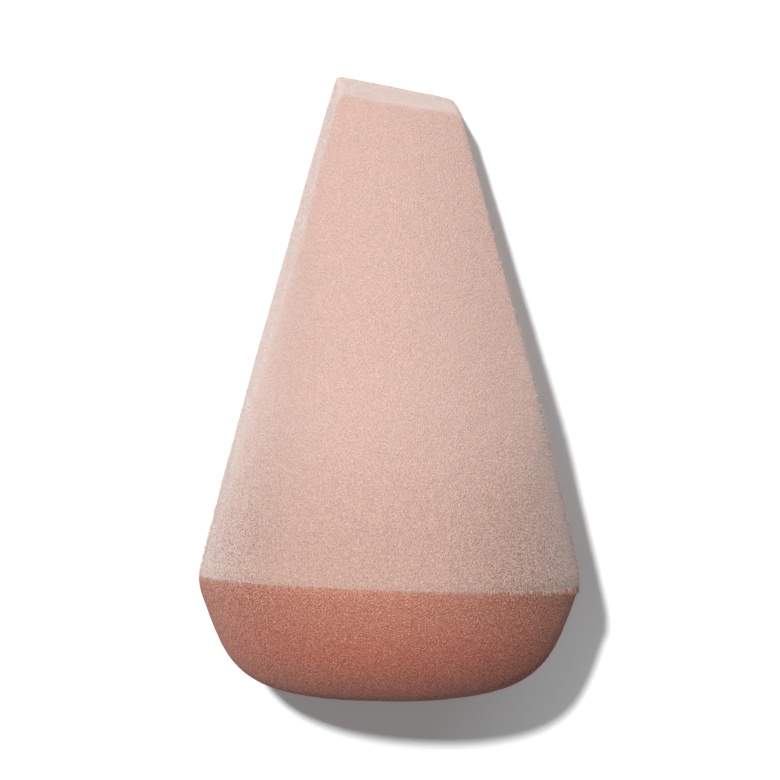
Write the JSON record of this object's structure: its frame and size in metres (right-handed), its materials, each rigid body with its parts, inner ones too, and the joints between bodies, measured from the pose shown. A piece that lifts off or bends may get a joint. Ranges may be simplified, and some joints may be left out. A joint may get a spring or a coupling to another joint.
{
  "type": "makeup sponge",
  "caption": "Tapered makeup sponge with a slanted flat tip, a velvety flocked body and a bare domed foam base.",
  "frame": {"origin": "point of the flat back face that lies under the middle of the body's centre line", "axes": "+Y from the base towards the tip, +Z out of the surface that the back face rests on, +X to the right of someone who looks down at the front with the tip pointing away"},
  "size_m": [0.0401, 0.0641, 0.0387],
  "materials": {
    "coral_foam": "open-cell foam, matte, fine pores",
    "core_foam": "open-cell foam, matte",
    "adhesive": "soft dried adhesive, matte",
    "blush_flock": "short velvety flock, matte with a pale sheen at grazing angles"
  },
  "bodies": {
    "root": {"foam_base": "coral_foam", "seam_glue": "adhesive", "foam_core": "core_foam", "flock_adhesive": "adhesive", "flock_skin": "blush_flock"}
  },
  "joints": []
}
